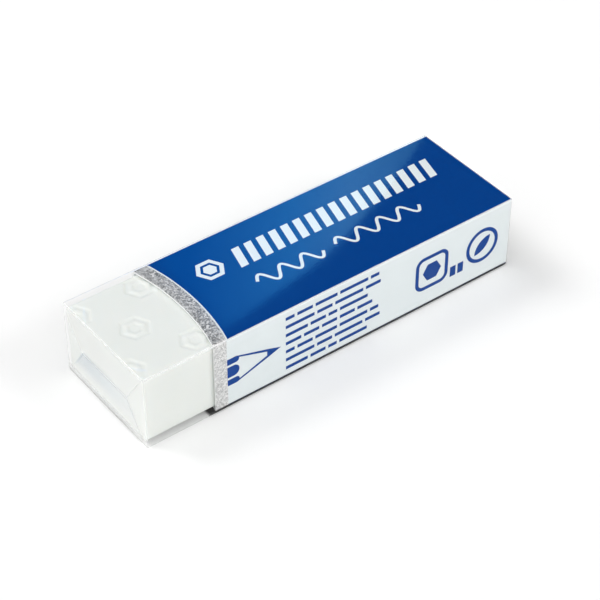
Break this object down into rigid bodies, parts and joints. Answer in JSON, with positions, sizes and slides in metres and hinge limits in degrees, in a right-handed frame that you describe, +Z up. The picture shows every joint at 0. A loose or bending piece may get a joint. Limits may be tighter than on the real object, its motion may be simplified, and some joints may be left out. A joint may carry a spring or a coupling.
{
  "type": "wrapped block eraser",
  "caption": "White block eraser in a blue printed card sleeve with an arched front edge, sealed in clear folded film.",
  "frame": {"origin": "middle of the underside of the sealed pack, where it rests", "axes": "+X along the length from the bare end of the block to the sleeved end, +Y away from the side with the printed figures, +Z up out of the blue face with the figures"},
  "size_m": [0.065, 0.02, 0.0125],
  "materials": {
    "eraser_vinyl": "soft matt white vinyl",
    "sleeve_card": "white coated card, satin",
    "silver_print": "silver ink on card, satin",
    "blue_print": "blue ink on card, gloss",
    "side_print": "blue ink on card, gloss",
    "clear_film": "clear gloss film"
  },
  "bodies": {
    "root": {"eraser_block": "eraser_vinyl", "card_sleeve": "sleeve_card", "silver_band": "silver_print", "blue_field_top": "blue_print", "blue_field_base": "blue_print", "blue_figures_side": "side_print", "film_wrap": "clear_film"}
  },
  "joints": []
}
